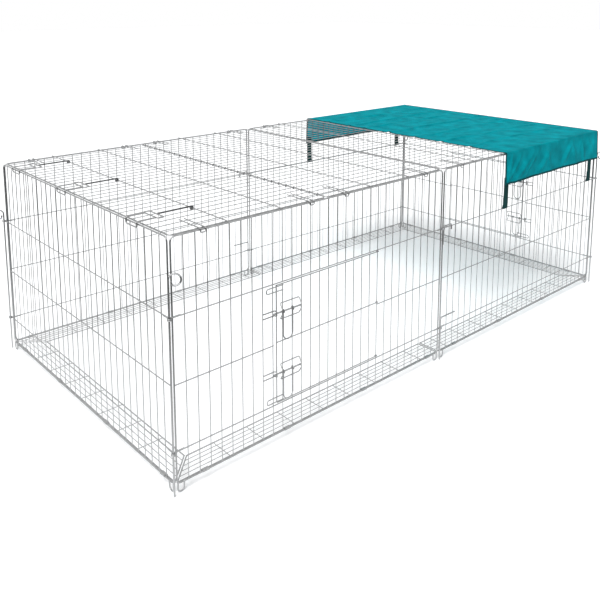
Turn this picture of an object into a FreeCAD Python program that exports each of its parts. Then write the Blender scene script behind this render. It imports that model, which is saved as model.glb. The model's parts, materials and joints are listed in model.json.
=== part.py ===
import FreeCAD, Part
import math
import os
from FreeCAD import Vector

# A folding pet run of welded wire panels, in millimetres.
# X runs along the length, the front is at -Y, +Z is up and the run stands on z = 0.
# The origin is in the middle of the base.

# Side panels
panel_pitch = 1150.0
panel_height = 700.0
foot_drop = 28.0
foot_width = 20.0
foot_inset = 3.0
foot_diameter = 4.4
frame_diameter = 4.8
rail_diameter = 3.4
bar_diameter = 2.5
corner_bend = 14.0
joint_gap = 6.0
bar_gaps = 30
rail_heights = (97.0, 290.0, 481.0)
weld_depth = 0.6

# Rods through the panel eyes
rod_diameter = 5.0
rod_clearance = 0.5
eye_step = 2.1
eye_tail = 24.0
eye_sweep = 280.0
curl_height = 590.0
back_curl_height = 508.0
curl_radius = 16.5
curl_sweep = 270.0
curl_end_share = 0.55
curl_end_sweep = 110.0
curl_turns = {"front_left": -35.0, "front_right": -35.0, "back_left": 180.0, "back_right": 0.0}
peg_handle_height = 138.0
peg_handle_length = 85.0
peg_bend = 9.0
pin_handle_rise = 9.0
pin_handle_length = 48.0
pin_tip_drop = 20.0
pin_reach = 60.0

# Doors
door_first_bar = 9
door_last_bar = 21
door_side_gap = 14.0
door_rail_gap = 6.0
hinge_clearance = 0.3
stop_height = 15.0
stop_gap = 4.0
stop_overlap = 26.0

# Slide-bolt latches
latch_heights = (391.0, 199.0)
bolt_diameter = 5.0
bolt_length = 107.0
bolt_overlap = 4.0
keeper_height = 15.0
keeper_reach = 5.0
guide_width = 75.0
guide_height = 50.0
guide_lead = 25.0
guide_flat = 16.0
guide_clearance = 0.4
guide_ends_gap = 0.8
handle_diameter = 4.0
handle_width = 37.0
handle_length = 92.0
handle_lead = 7.5
handle_clearance = 0.2
handle_door_gap = 0.5
latch_bend = 4.0

# Roof
roof_inset = 10.0
roof_gaps = 30
cross_gaps = 6
flap_cross_gaps = 3
roof_seat_gap = 0.3
cross_overhang = 4.0
roof_joint_gap = 10.0
flap_bar_shift = 4.0
flap_hinge_gap = 12.0
clip_length = 100.0
clip_width = 17.0
clip_drop = 12.0
clip_edge_gap = 0.5
clip_seat_gap = 0.1
clip_places = (106.0, 500.0)
hook_bar_gaps = (4.5, 16.5, 26.5)
hook_arm_diameter = 5.0
hook_wire_diameter = 4.0
hook_loop_width = 80.0
hook_loop_depth = 20.0
hook_loop_place = 55.0
hook_tongue_width = 60.0
hook_drop = 8.0
hook_bend = 5.0

# Digging barrier strips
strip_width = 85.0
strip_rows = 5
strip_cross_start = 67.0
strip_cross_pitch = 124.0
strip_frame_diameter = 4.0
strip_wire_diameter = 2.2
strip_edge_gap = 5.5
strip_end_gap = 5.0
strip_clip_gaps = (2.5, 10.5, 19.5, 28.5)
strip_clip_length = 22.0
strip_clip_sheet = 1.0
strip_clip_clearance = 0.3

# Sunshade
shade_start = 389.0
shade_end_gap = 2.0
shade_thickness = 1.6
shade_clearance = 0.4
shade_drop = 122.0
shade_bend = 6.0
shade_fold_depth = 7.0
shade_fold_shares = (0.0, 0.18, 0.36, 0.56, 0.76, 1.0)
shade_bulge_shares = (0.25, 1.0, 0.3, 1.0, 0.45, 0.25)
strap_width = 31.0
strap_thickness = 1.2
strap_lap = 30.0
strap_bar_gaps = (10.5, 28.5)
strap_clearance = 0.3

# Values worked out from the sizes above
half_length = panel_pitch
half_depth = panel_pitch / 2
frame_radius = frame_diameter / 2
rail_radius = rail_diameter / 2
bar_radius = bar_diameter / 2
foot_radius = foot_diameter / 2
rod_radius = rod_diameter / 2
bolt_radius = bolt_diameter / 2
handle_radius = handle_diameter / 2
strip_frame_radius = strip_frame_diameter / 2
strip_radius = strip_wire_diameter / 2
base_z = foot_drop
top_z = base_z + panel_height
frame_width = panel_pitch - 2 * joint_gap
bar_pitch = frame_width / bar_gaps
rail_offset = bar_radius + rail_radius - weld_depth
rail_z = [base_z + height for height in rail_heights]
eye_radius = rod_radius + rod_clearance + rail_radius
rod_offset = rail_offset + eye_radius
door_edge_u = joint_gap + door_first_bar * bar_pitch + door_side_gap
door_hinge_u = joint_gap + door_last_bar * bar_pitch
handle_eye_radius = bolt_radius + handle_clearance + handle_radius
bolt_offset = bar_radius + handle_door_gap + handle_eye_radius + handle_radius
bolt_cover = bolt_offset + bolt_radius + guide_clearance + rail_radius
bolt_tip_u = joint_gap + door_first_bar * bar_pitch - bolt_overlap
cross_pitch = panel_pitch / cross_gaps
cross_z = top_z + frame_radius + roof_seat_gap + rail_radius
roof_frame_z = cross_z - rail_radius - frame_radius + weld_depth
roof_bar_z = cross_z - rail_radius - bar_radius + weld_depth
roof_half_depth = half_depth - roof_inset
roof_bar_pitch = 2 * roof_half_depth / roof_gaps
clip_z = cross_z - rail_radius + weld_depth + clip_seat_gap + rail_radius
hook_eye_radius = rail_radius + hinge_clearance + hook_arm_diameter / 2
flap_eye_radius = frame_radius + hinge_clearance + bar_radius
hinge_x = -half_length + cross_pitch * flap_cross_gaps
hook_z = cross_z + hook_eye_radius
shade_offset = frame_radius + clip_edge_gap + rail_diameter + shade_clearance
quarter_turn_angle = math.degrees(math.pi / 2)

# The six sides, walked round the run: turn about Z, first corner, and whether each end is a corner
sides = {
    "front_near": (0, -half_length, -half_depth, True, False),
    "front_far": (0, 0, -half_depth, False, True),
    "right_end": (90, half_length, -half_depth, True, True),
    "back_far": (180, half_length, half_depth, True, False),
    "back_near": (180, 0, half_depth, False, True),
    "left_end": (270, -half_length, half_depth, True, True),
}
door_sides = {"front_near": "front", "right_end": "end"}


def fuse(shapes):
    """Welds a list of solids into one solid."""
    welded = shapes[0].multiFuse(shapes[1:])
    if len(welded.Solids) != 1:
        raise ValueError("a welded piece came out in %d solids" % len(welded.Solids))
    return welded.Solids[0]


def straight_wire(start, end, radius):
    """Makes a straight round wire."""
    return Part.makeCylinder(radius, (end - start).Length, start, end - start)


def bent_path(points, bend):
    """Makes the line of a bent wire: straight runs joined by tangent arcs."""
    edges = []
    start = points[0]
    for before, corner, after in zip(points, points[1:], points[2:]):
        arrive = (corner - before).normalize()
        leave = (after - corner).normalize()
        half_turn = arrive.getAngle(leave) / 2
        reach = bend * math.tan(half_turn)
        inward = (leave - arrive).normalize()
        arc_start = corner - arrive * reach
        arc_end = corner + leave * reach
        arc_middle = corner + inward * (bend / math.cos(half_turn) - bend)
        edges.append(Part.LineSegment(start, arc_start).toShape())
        edges.append(Part.Arc(arc_start, arc_middle, arc_end).toShape())
        start = arc_end
    edges.append(Part.LineSegment(start, points[-1]).toShape())
    return edges


def sweep(edges, radius):
    """Sweeps a round section along a line of edges."""
    start = edges[0].Vertexes[0].Point
    heading = edges[0].tangentAt(edges[0].FirstParameter)
    section = Part.Wire(Part.makeCircle(radius, start, heading))
    return Part.Wire(edges).makePipeShell([section], True, False)


def bent_wire(points, radius, bend):
    """Makes a round wire bent at each inner point."""
    return sweep(bent_path(points, bend), radius)


def eye(centre, axis, radius, wire_radius):
    """Makes a closed round eye."""
    return Part.makeTorus(radius, wire_radius, centre, axis)


def curled_wire(start, touch, centre, sweep_angle, radius):
    """Makes a straight wire that ends in an open eye, curled round a centre from the touching point on."""
    heading = (touch - start).normalize() * (touch - centre).Length

    def on_curl(angle):
        turn = math.radians(angle)
        return centre + (touch - centre) * math.cos(turn) + heading * math.sin(turn)

    quarter = sweep_angle / 4
    edges = [Part.LineSegment(start, touch).toShape()]
    for first in (0, 2 * quarter):
        arc = Part.Arc(on_curl(first), on_curl(first + quarter), on_curl(first + 2 * quarter))
        edges.append(arc.toShape())
    return sweep(edges, radius)


def place(shape, side):
    """Puts a piece made on the first panel's own axes onto one of the six sides."""
    turn, corner_x, corner_y = sides[side][:3]
    placed = shape.copy()
    placed.rotate(Vector(0, 0, 0), Vector(0, 0, 1), turn)
    placed.translate(Vector(corner_x, corner_y, 0))
    return placed


def bar_u(index):
    """Gives the place of a bar, or of a gap between bars, along its panel."""
    return joint_gap + index * bar_pitch


def frame_wires(left, right, low, high, point, radius):
    """Makes the two halves of a rounded frame in the plane that the point function draws in."""
    middle = (left + right) / 2
    halves = []
    for side in (left, right):
        corners = [point(middle, low), point(side, low), point(side, high), point(middle, high)]
        halves.append(bent_wire(corners, radius, corner_bend))
    return halves


def panel_feet():
    """Makes the U loops below the bottom wire that a panel stands on."""
    feet = []
    reach = max(corner_bend - foot_inset, 0)
    rise = corner_bend - math.sqrt(corner_bend ** 2 - reach ** 2)
    for end_u, inward in ((bar_u(0), 1), (bar_u(bar_gaps), -1)):
        outer = end_u + inward * foot_inset
        inner = outer + inward * foot_width
        points = [
            Vector(outer, 0, base_z + rise), Vector(outer, 0, foot_radius),
            Vector(inner, 0, foot_radius), Vector(inner, 0, base_z),
        ]
        feet.append(bent_wire(points, foot_radius, foot_width / 2 - weld_depth))
    return feet


def panel_eyes(left_is_corner, right_is_corner):
    """Makes the rod eyes at both ends of the top and bottom rails."""
    wires = []
    ends = ((0, 1, left_is_corner), (panel_pitch, -1, right_is_corner))
    for end_u, inward, is_corner in ends:
        centre_u = end_u - inward * rod_offset if is_corner else end_u
        for height in (rail_z[0], rail_z[-1]):
            z = height + inward * eye_step
            tail_end = Vector(end_u + inward * (joint_gap + eye_tail), -rail_offset, z)
            touch = Vector(centre_u, -rail_offset, z)
            centre = Vector(centre_u, -rod_offset, z)
            wires.append(curled_wire(tail_end, touch, centre, eye_sweep, rail_radius))
    return wires


def panel_bars(has_door):
    """Makes the upright bars and the rails, left out where a door opens."""
    wires = []
    for index in range(1, bar_gaps):
        u = bar_u(index)
        spans = [(base_z, top_z)]
        if has_door and door_first_bar < index < door_last_bar:
            spans = [(base_z, rail_z[0]), (rail_z[-1], top_z)]
        for low, high in spans:
            wires.append(straight_wire(Vector(u, 0, low), Vector(u, 0, high), bar_radius))
    for row, z in enumerate(rail_z):
        spans = [(bar_u(0), bar_u(bar_gaps))]
        if has_door and row == 1:
            spans = [(bar_u(0), bar_u(door_first_bar)), (bar_u(door_last_bar), bar_u(bar_gaps))]
        for left, right in spans:
            start = Vector(left, -rail_offset, z)
            wires.append(straight_wire(start, Vector(right, -rail_offset, z), rail_radius))
    return wires


def panel_base(has_door):
    """Makes a side panel without its rod eyes."""

    def point(u, z):
        return Vector(u, 0, z)

    wires = frame_wires(bar_u(0), bar_u(bar_gaps), base_z, top_z, point, frame_radius)
    return fuse(wires + panel_bars(has_door) + panel_feet())


def door_stop(low):
    """Makes a hairpin on the door that overlaps the fixed bar beside it."""
    w = -(bar_radius + hinge_clearance + rail_radius)
    start_u = bar_u(door_first_bar + 1)
    end_u = bar_u(door_first_bar) - stop_overlap
    high = low + stop_height
    points = [
        Vector(start_u, w, low), Vector(end_u, w, low),
        Vector(end_u, w, high), Vector(start_u, w, high),
    ]
    return bent_wire(points, rail_radius, stop_height / 2 - weld_depth)


def door_rows():
    """Gives the heights of the door's three cross wires."""
    return [rail_z[0] + door_rail_gap, rail_z[1] + door_rail_gap, rail_z[-1] - door_rail_gap]


def door():
    """Makes a door leaf with its hinge eyes and stops."""
    rows = door_rows()
    low, high = rows[0], rows[-1]
    wires = [straight_wire(Vector(door_edge_u, 0, low), Vector(door_edge_u, 0, high), rail_radius)]
    for index in range(door_first_bar + 1, door_last_bar):
        u = bar_u(index)
        wires.append(straight_wire(Vector(u, 0, low), Vector(u, 0, high), bar_radius))
    hinge_eye_radius = bar_radius + hinge_clearance + rail_radius
    meet_u = door_hinge_u - math.sqrt(hinge_eye_radius ** 2 - rail_offset ** 2)
    for z in rows:
        start = Vector(door_edge_u, -rail_offset, z)
        wires.append(straight_wire(start, Vector(meet_u, -rail_offset, z), rail_radius))
        wires.append(eye(Vector(door_hinge_u, 0, z), Vector(0, 0, 1), hinge_eye_radius, rail_radius))
    for stop_z in (low + stop_gap, high - stop_gap - stop_height):
        wires.append(door_stop(stop_z))
    return fuse(wires)


def keeper(z):
    """Makes the staple on the panel that the bolt's tip slides into."""
    inner = -(bar_radius + clip_seat_gap + rail_radius)
    start_u = bar_u(door_first_bar - 1)
    end_u = bar_u(door_first_bar) + keeper_reach
    low = z - keeper_height / 2
    high = z + keeper_height / 2
    points = [
        Vector(start_u, inner, high), Vector(end_u, inner, high), Vector(end_u, -bolt_cover, high),
        Vector(end_u, -bolt_cover, low), Vector(end_u, inner, low), Vector(start_u, inner, low),
    ]
    return bent_wire(points, rail_radius, latch_bend)


def bolt_guide(z):
    """Makes the bent wire loop on the door that the bolt slides in."""
    inner = -(bar_radius + clip_seat_gap + rail_radius)
    left = door_edge_u + guide_lead / 2
    right = left + guide_width
    middle = (left + right) / 2
    half = guide_height / 2
    flat = guide_flat / 2

    def side(u):
        return [
            Vector(u, inner, z - half), Vector(u, -bolt_cover, z - flat),
            Vector(u, -bolt_cover, z + flat), Vector(u, inner, z + half),
        ]

    start = Vector(middle - guide_ends_gap / 2, inner, z - half)
    end = Vector(middle + guide_ends_gap / 2, inner, z - half)
    points = [start] + side(left) + side(right)[::-1] + [end]
    return bent_wire(points, rail_radius, latch_bend)


def bolt(z):
    """Makes a straight sliding bolt."""
    start = Vector(bolt_tip_u, -bolt_offset, z)
    return straight_wire(start, start + Vector(bolt_length, 0, 0), bolt_radius)


def bolt_handle(z):
    """Makes the U drop handle whose two eyes turn on the bolt."""
    left = door_edge_u + guide_lead / 2 + handle_lead
    right = left + handle_width
    low = z - handle_length
    meet = z - handle_eye_radius
    points = [
        Vector(left, -bolt_offset, meet), Vector(left, -bolt_offset, low),
        Vector(right, -bolt_offset, low), Vector(right, -bolt_offset, meet),
    ]
    wires = [bent_wire(points, handle_radius, handle_width / 2 - weld_depth)]
    for u in (left, right):
        wires.append(eye(Vector(u, -bolt_offset, z), Vector(1, 0, 0), handle_eye_radius, handle_radius))
    return fuse(wires)


def corner_rod(x, y, height, turn):
    """Makes a corner rod that ends in a pigtail curl, turned about the rod."""
    touch = Vector(x, y, base_z + height)
    out = Vector(math.cos(math.radians(turn)), math.sin(math.radians(turn)), 0)
    centre = touch + out * curl_radius
    end_centre = centre - Vector(0, 0, curl_radius * (1 - curl_end_share))

    def arc(middle, radius, first, sweep_angle):
        points = []
        for angle in (first, first + sweep_angle / 2, first + sweep_angle):
            across = -radius * math.cos(math.radians(angle))
            rise = radius * math.sin(math.radians(angle))
            points.append(middle + out * across + Vector(0, 0, rise))
        return Part.Arc(*points).toShape()

    half_sweep = curl_sweep / 2
    edges = [
        Part.LineSegment(Vector(x, y, 0), touch).toShape(),
        arc(centre, curl_radius, 0, half_sweep),
        arc(centre, curl_radius, half_sweep, half_sweep),
        arc(end_centre, curl_radius * curl_end_share, curl_sweep, curl_end_sweep),
    ]
    return sweep(edges, rod_radius)


def joint_peg(y, heading):
    """Makes the long peg through the lower eyes of a middle joint."""
    top = base_z + peg_handle_height
    points = [Vector(0, y, 0), Vector(0, y, top), Vector(heading * peg_handle_length, y, top)]
    return bent_wire(points, rod_radius, peg_bend)


def joint_pin(y, heading):
    """Makes the short pin through the upper eyes of a middle joint."""
    top = rail_z[-1] + pin_handle_rise
    end = heading * pin_handle_length
    points = [
        Vector(0, y, rail_z[-1] - pin_reach), Vector(0, y, top),
        Vector(end, y, top), Vector(end, y, top - pin_tip_drop),
    ]
    return bent_wire(points, rod_radius, rod_diameter)


def roof_bars(left, right, shift):
    """Makes the bars of a roof sheet, along the run."""
    wires = []
    for index in range(1, roof_gaps):
        y = -roof_half_depth + index * roof_bar_pitch + shift
        start = Vector(left, y, roof_bar_z)
        wires.append(straight_wire(start, Vector(right, y, roof_bar_z), bar_radius))
    return wires


def roof_cross(places):
    """Makes the cross wires that rest on the long sides."""
    reach = half_depth + cross_overhang
    wires = []
    for x in places:
        wires.append(straight_wire(Vector(x, -reach, cross_z), Vector(x, reach, cross_z), rail_radius))
    return wires


def roof_sheet(left, right, cross_places):
    """Makes one welded sheet of the fixed roof."""

    def point(x, y):
        return Vector(x, y, roof_frame_z)

    frame = frame_wires(left, right, -roof_half_depth, roof_half_depth, point, frame_radius)
    return fuse(frame + roof_bars(left, right, 0) + roof_cross(cross_places))


def roof_flap(left, cross_places):
    """Makes the hinged sheet, whose bars end in eyes round the next sheet's end wire."""
    end_x = hinge_x - flap_hinge_gap
    corners = [
        Vector(end_x, -roof_half_depth, roof_frame_z), Vector(left, -roof_half_depth, roof_frame_z),
        Vector(left, roof_half_depth, roof_frame_z), Vector(end_x, roof_half_depth, roof_frame_z),
    ]
    wires = [bent_wire(corners, frame_radius, corner_bend)]
    lift = roof_bar_z - roof_frame_z
    meet_x = hinge_x - math.sqrt(flap_eye_radius ** 2 - lift ** 2)
    wires += roof_bars(left, meet_x, flap_bar_shift)
    for index in range(1, roof_gaps):
        y = -roof_half_depth + index * roof_bar_pitch + flap_bar_shift
        wires.append(eye(Vector(hinge_x, y, roof_frame_z), Vector(0, 1, 0), flap_eye_radius, bar_radius))
    return fuse(wires + roof_cross(cross_places))


def stadium(centre_x, half_span, radius, y, z):
    """Makes a stadium line round two parallel wires, in the plane across them."""
    left = centre_x - half_span
    right = centre_x + half_span
    high = z + radius
    low = z - radius
    return [
        Part.LineSegment(Vector(left, y, high), Vector(right, y, high)).toShape(),
        Part.Arc(Vector(right, y, high), Vector(right + radius, y, z), Vector(right, y, low)).toShape(),
        Part.LineSegment(Vector(right, y, low), Vector(left, y, low)).toShape(),
        Part.Arc(Vector(left, y, low), Vector(left - radius, y, z), Vector(left, y, high)).toShape(),
    ]


def roof_clip(x, facing):
    """Makes a hairpin that lies on the roof and hooks over a long side's top wire."""
    outer = half_depth + frame_radius + clip_edge_gap + rail_radius
    inner = half_depth - clip_length
    left = x - clip_width / 2
    right = x + clip_width / 2
    low = clip_z - clip_drop
    points = [
        Vector(left, facing * inner, clip_z), Vector(left, facing * outer, clip_z),
        Vector(left, facing * outer, low), Vector(right, facing * outer, low),
        Vector(right, facing * outer, clip_z), Vector(right, facing * inner, clip_z),
    ]
    return bent_wire(points, rail_radius, latch_bend)


def roof_clips(places):
    """Makes a set of clips along both long sides."""
    return Part.makeCompound([roof_clip(x, facing) for x in places for facing in (-1, 1)])


def end_hook(y):
    """Makes a hook that turns on a roof cross wire and drops over the end panel's top wire."""
    arm_radius = hook_arm_diameter / 2
    wire_radius = hook_wire_diameter / 2
    pivot_x = -half_length + cross_pitch
    loop_left = -half_length + hook_loop_place
    loop_right = loop_left + hook_loop_depth
    edge_x = -half_length - frame_radius - clip_edge_gap - wire_radius
    half_loop = hook_loop_width / 2
    half_tongue = hook_tongue_width / 2
    low = top_z - hook_drop
    loop = []
    for side in (-1, 1):
        end_y = y + side * half_loop
        points = [
            Vector(loop_right, y, hook_z), Vector(loop_right, end_y, hook_z),
            Vector(loop_left, end_y, hook_z), Vector(loop_left, y, hook_z),
        ]
        loop.append(bent_wire(points, wire_radius, hook_bend))
    tongue_points = [
        Vector(loop_left, y - half_tongue, hook_z), Vector(edge_x, y - half_tongue, hook_z),
        Vector(edge_x, y - half_tongue, low), Vector(edge_x, y + half_tongue, low),
        Vector(edge_x, y + half_tongue, hook_z), Vector(loop_left, y + half_tongue, hook_z),
    ]
    tongue = bent_wire(tongue_points, wire_radius, hook_bend)
    pivot = Vector(pivot_x, y, cross_z)
    touch = Vector(pivot_x, y, hook_z)
    arm = curled_wire(Vector(loop_right, y, hook_z), touch, pivot, eye_sweep, arm_radius)
    return fuse(loop + [tongue, arm])


def strip(left_is_corner, right_is_corner):
    """Makes a barrier strip on the first panel's axes, hinged at the panel's bottom wire."""
    row_pitch = strip_width / strip_rows

    def ends(row):
        inset = row * row_pitch + strip_edge_gap
        left = strip_end_gap + (inset if left_is_corner else 0)
        right = panel_pitch - strip_end_gap - (inset if right_is_corner else 0)
        return left, right

    wires = []
    for row in range(strip_rows + 1):
        left, right = ends(row)
        w = row * row_pitch
        radius = strip_radius if 0 < row < strip_rows else strip_frame_radius
        wires.append(straight_wire(Vector(left, w, 0), Vector(right, w, 0), radius))
    for outer, inner in zip(ends(0), ends(strip_rows)):
        wires.append(straight_wire(Vector(outer, 0, 0), Vector(inner, strip_width, 0), strip_frame_radius))
        wires.append(Part.makeSphere(strip_frame_radius, Vector(outer, 0, 0)))
        wires.append(Part.makeSphere(strip_frame_radius, Vector(inner, strip_width, 0)))
    drop = strip_radius + bar_radius - weld_depth
    for u in strip_cross_places(*ends(strip_rows)):
        wires.append(straight_wire(Vector(u, 0, -drop), Vector(u, strip_width, -drop), bar_radius))
    mesh = fuse(wires)
    mesh.translate(Vector(0, strip_edge_gap, base_z))
    return mesh


def strip_cross_places(left, right):
    """Gives the places of a strip's cross wires between the ends of its inner edge."""
    count = int((panel_pitch - strip_cross_start) / strip_cross_pitch) + 1
    places = [strip_cross_start + strip_cross_pitch * index for index in range(count)]
    return [u for u in places if left < u < right]


def strip_clip(u):
    """Makes a folded sheet clip round the panel's bottom wire and the strip's edge wire."""
    inner_radius = frame_radius + strip_clip_clearance
    outer_radius = inner_radius + strip_clip_sheet
    start = u - strip_clip_length / 2
    half = strip_edge_gap / 2

    def oval(radius):
        line = Part.Wire(stadium(0, half, radius, 0, 0))
        body = Part.Face(line).extrude(Vector(0, strip_clip_length, 0))
        body.rotate(Vector(0, 0, 0), Vector(0, 0, 1), -quarter_turn_angle)
        body.translate(Vector(start, half, base_z))
        return body

    return oval(outer_radius).cut(oval(inner_radius))


def shade_section(x, bulge):
    """Draws the cloth's section across the run, with its hems standing out by the bulge."""
    inner_z = clip_z + rail_radius + shade_clearance
    outer_z = inner_z + shade_thickness
    inner_y = half_depth + shade_offset
    outer_y = inner_y + shade_thickness
    hem_z = top_z - shade_drop
    inner_bend = shade_bend - shade_thickness

    def corner(side, y, z, bend):
        slant = bend * (1 - math.cos(math.pi / 4))
        low = Vector(x, side * y, z - bend)
        middle = Vector(x, side * (y - slant), z - slant)
        return Part.Arc(low, middle, Vector(x, side * (y - bend), z)).toShape()

    def line(start, end):
        return Part.LineSegment(start, end).toShape()

    out = [
        line(Vector(x, -outer_y - bulge, hem_z), Vector(x, -outer_y, outer_z - shade_bend)),
        corner(-1, outer_y, outer_z, shade_bend),
        line(Vector(x, -outer_y + shade_bend, outer_z), Vector(x, outer_y - shade_bend, outer_z)),
        corner(1, outer_y, outer_z, shade_bend),
        line(Vector(x, outer_y, outer_z - shade_bend), Vector(x, outer_y + bulge, hem_z)),
        line(Vector(x, outer_y + bulge, hem_z), Vector(x, inner_y + bulge, hem_z)),
        line(Vector(x, inner_y + bulge, hem_z), Vector(x, inner_y, inner_z - inner_bend)),
        corner(1, inner_y, inner_z, inner_bend),
        line(Vector(x, inner_y - inner_bend, inner_z), Vector(x, -inner_y + inner_bend, inner_z)),
        corner(-1, inner_y, inner_z, inner_bend),
        line(Vector(x, -inner_y, inner_z - inner_bend), Vector(x, -inner_y - bulge, hem_z)),
        line(Vector(x, -inner_y - bulge, hem_z), Vector(x, -outer_y - bulge, hem_z)),
    ]
    return Part.Wire(Part.__sortEdges__(out))


def sunshade():
    """Makes the cloth over the far end of the roof, with its drops and their folds."""
    length = half_length - shade_end_gap - shade_start
    sections = []
    for place_share, bulge_share in zip(shade_fold_shares, shade_bulge_shares):
        sections.append(shade_section(shade_start + place_share * length, bulge_share * shade_fold_depth))
    return Part.makeLoft(sections, True, True)


def strap(u):
    """Makes a strap on the first panel's axes, from the shade's hem down and round the top rail."""
    rail = rail_z[-1]
    inner_radius = rail_radius + strap_clearance
    outer_radius = inner_radius + strap_thickness
    outer_w = shade_offset - shade_clearance
    left = u - strap_width / 2
    across = Vector(strap_width, 0, 0)
    centre = Vector(left, -rail_offset, rail)
    loop = Part.makeCylinder(outer_radius, strap_width, centre, across)
    fold = Part.makeBox(strap_width, outer_w - rail_offset, 2 * outer_radius)
    fold.translate(Vector(left, -outer_w, rail - outer_radius))
    top = top_z - shade_drop + strap_lap
    band = Part.makeBox(strap_width, strap_thickness, top - rail)
    band.translate(Vector(left, -outer_w, rail))
    rail_hole = Part.makeCylinder(inner_radius, strap_width, centre, across)
    return fuse([loop, fold, band]).cut(rail_hole).Solids[0]


def build():
    """Makes every piece, named, in place."""
    pieces = {}
    bases = {False: panel_base(False), True: panel_base(True)}
    strips = {ends: strip(*ends) for ends in ((True, False), (False, True), (True, True))}
    clips = Part.makeCompound([strip_clip(bar_u(gap)) for gap in strip_clip_gaps])
    for side in sides:
        ends = sides[side][-2:]
        base = bases[side in door_sides]
        pieces["panel_" + side] = place(fuse([base] + panel_eyes(*ends)), side)
        pieces["strip_" + side] = place(strips[ends], side)
        pieces["strip_clips_" + side] = place(clips, side)
    leaf = door()
    guides = Part.makeCompound([bolt_guide(base_z + height) for height in latch_heights])
    keepers = Part.makeCompound([keeper(base_z + height) for height in latch_heights])
    for side, name in door_sides.items():
        pieces["door_" + name] = place(leaf, side)
        pieces["latch_guides_" + name] = place(guides, side)
        pieces["latch_keepers_" + name] = place(keepers, side)
        for level, height in zip(("upper", "lower"), latch_heights):
            pieces["bolt_%s_%s" % (name, level)] = place(bolt(base_z + height), side)
            pieces["handle_%s_%s" % (name, level)] = place(bolt_handle(base_z + height), side)
    rod_x = half_length + rod_offset
    rod_y = half_depth + rod_offset
    for name, turn in curl_turns.items():
        x = rod_x if name.endswith("right") else -rod_x
        y = rod_y if name.startswith("back") else -rod_y
        height = back_curl_height if name.startswith("back") else curl_height
        pieces["rod_" + name] = corner_rod(x, y, height, turn)
    for name, facing in (("front", -1), ("back", 1)):
        pieces["peg_" + name] = joint_peg(facing * rod_y, -facing)
        pieces["pin_" + name] = joint_pin(facing * rod_y, -facing)
    half_gap = roof_joint_gap / 2
    near_cross = [-half_length + cross_pitch * row for row in range(1, cross_gaps)]
    far_cross = [cross_pitch * row for row in range(1, cross_gaps)]
    pieces["roof_flap"] = roof_flap(-half_length + roof_inset, near_cross[:flap_cross_gaps - 1])
    pieces["roof_fixed_half"] = roof_sheet(hinge_x, -half_gap, near_cross[flap_cross_gaps:])
    pieces["roof_far"] = roof_sheet(half_gap, half_length - roof_inset, far_cross)
    from_ends = [half_length - clip_place for clip_place in clip_places]
    pieces["roof_flap_clips"] = roof_clips([-x for x in from_ends])
    pieces["roof_fixed_clips"] = roof_clips([-x for x in clip_places])
    pieces["roof_far_clips"] = roof_clips(list(clip_places) + from_ends)
    for name, gap in zip(("front", "middle", "back"), hook_bar_gaps):
        pieces["end_hook_" + name] = end_hook(-roof_half_depth + gap * roof_bar_pitch)
    pieces["sunshade"] = sunshade()
    for name, gap in zip(("near", "far"), strap_bar_gaps):
        pieces["strap_front_" + name] = place(strap(bar_u(gap)), "front_far")
        pieces["strap_back_" + name] = place(strap(bar_u(bar_gaps - gap)), "back_far")
    return pieces


os.makedirs("parts", exist_ok=True)
for piece_name, piece in build().items():
    piece.exportStep("parts/%s.step" % piece_name)
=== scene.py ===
import json
import math
import bmesh
import bpy
from mathutils import Matrix, Vector, noise

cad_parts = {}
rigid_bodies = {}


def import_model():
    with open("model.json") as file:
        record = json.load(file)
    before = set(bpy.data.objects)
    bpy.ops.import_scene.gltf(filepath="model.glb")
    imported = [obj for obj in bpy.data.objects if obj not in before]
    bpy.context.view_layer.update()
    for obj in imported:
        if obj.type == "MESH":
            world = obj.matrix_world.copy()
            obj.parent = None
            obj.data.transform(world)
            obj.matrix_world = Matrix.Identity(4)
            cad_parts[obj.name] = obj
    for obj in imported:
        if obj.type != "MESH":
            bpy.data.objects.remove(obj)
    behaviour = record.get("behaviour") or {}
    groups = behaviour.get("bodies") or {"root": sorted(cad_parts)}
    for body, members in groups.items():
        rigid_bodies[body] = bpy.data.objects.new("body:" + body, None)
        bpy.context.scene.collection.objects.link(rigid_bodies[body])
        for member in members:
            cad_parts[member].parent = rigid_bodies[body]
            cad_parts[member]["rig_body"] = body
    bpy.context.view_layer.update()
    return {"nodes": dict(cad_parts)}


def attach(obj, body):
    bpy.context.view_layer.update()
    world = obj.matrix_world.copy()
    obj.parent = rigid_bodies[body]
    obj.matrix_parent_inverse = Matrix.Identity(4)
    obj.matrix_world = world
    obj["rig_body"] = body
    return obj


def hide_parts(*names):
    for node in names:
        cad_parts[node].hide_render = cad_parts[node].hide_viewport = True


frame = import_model()

# Sizes of the run in metres, as it is built

panel_pitch = 1.150
panel_height = 0.700
base_z = 0.028
top_z = base_z + panel_height
half_length = panel_pitch
half_depth = panel_pitch / 2
joint_gap = 0.006
bar_gaps = 30
bar_pitch = (panel_pitch - 2 * joint_gap) / bar_gaps
frame_radius = 0.0024
rail_radius = 0.0017
bar_radius = 0.00125
rod_radius = 0.0025
weld_depth = 0.0006
turning_gap = 0.0003
resting_gap = 0.0001
corner_bend = 0.014
foot_width = 0.020
foot_inset = 0.003
foot_radius = 0.0022
rail_offset = bar_radius + rail_radius - weld_depth
rail_z = [base_z + height for height in (0.097, 0.290, 0.481)]
rod_clearance = 0.0005
eye_radius = rod_radius + rod_clearance + rail_radius
rod_offset = rail_offset + eye_radius
eye_step = 0.0021
eye_tail = 0.024
eye_sweep = 280
curl_radius = 0.0165
curl_end_radius = 0.55 * curl_radius
curl_sweep = 270
curl_end_sweep = 110
corner_rods = {
    "front_left": (-1, -1, 0.590, -35),
    "front_right": (1, -1, 0.590, -35),
    "back_left": (-1, 1, 0.508, 180),
    "back_right": (1, 1, 0.508, 0),
}
peg_height = 0.138
peg_handle = 0.085
peg_bend = 0.009
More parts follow.
